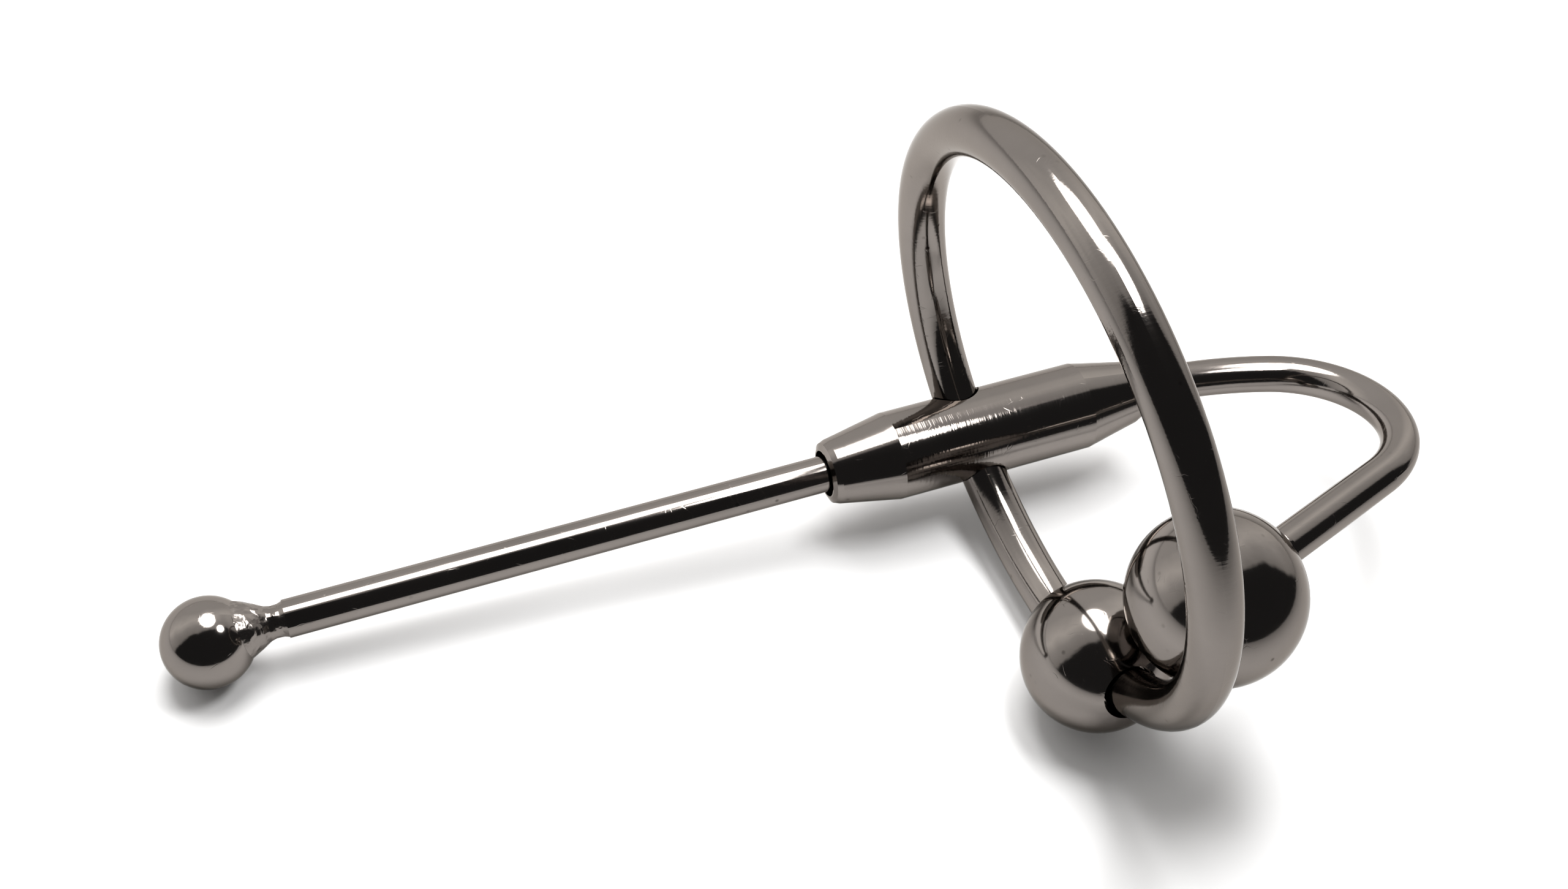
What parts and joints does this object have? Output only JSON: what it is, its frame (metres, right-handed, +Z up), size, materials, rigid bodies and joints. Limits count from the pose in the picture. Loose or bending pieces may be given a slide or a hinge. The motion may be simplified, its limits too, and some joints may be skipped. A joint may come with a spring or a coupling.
{
  "type": "body jewellery wand with captive ring",
  "caption": "Polished steel rod with a welded ball tip, a tapered barrel, a hooked end with a larger ball, and a round wire ring through the barrel closed by a captive ball",
  "frame": {"origin": "centre of the bounding box at its base: the surface that the object lies on is z = 0", "axes": "+Z up, +X along the rod from the ball tip towards the hook (the rod rises a few degrees), the hook and ring reach towards -Y"},
  "size_m": [0.0826, 0.0394, 0.0404],
  "materials": {
    "polished_steel": "mirror polished, with fine handling scratches",
    "weld_steel": "polished weld metal, lumpy"
  },
  "bodies": {
    "wand": {"tip_ball": "polished_steel", "tip_weld": "weld_steel", "shaft": "polished_steel", "barrel": "polished_steel", "hook_arm": "polished_steel", "hook_weld": "weld_steel", "hook_ball": "polished_steel"},
    "ring": {"ring": "polished_steel"},
    "closure": {"closure_ball": "polished_steel"}
  },
  "joints": [
    {"name": "ring_turn", "type": "hinge", "parent": "wand", "child": "ring", "pos_m": [0.01155, 0, 0.02093], "axis": [0.9841, 0.0511, 0.1702], "range_deg": [-1, 36]},
    {"name": "closure_spin", "type": "hinge", "parent": "ring", "child": "closure", "pos_m": [0.01465, -0.00814, 0.00545], "axis": [-0.0335, -0.8873, 0.4599], "continuous": true}
  ]
}
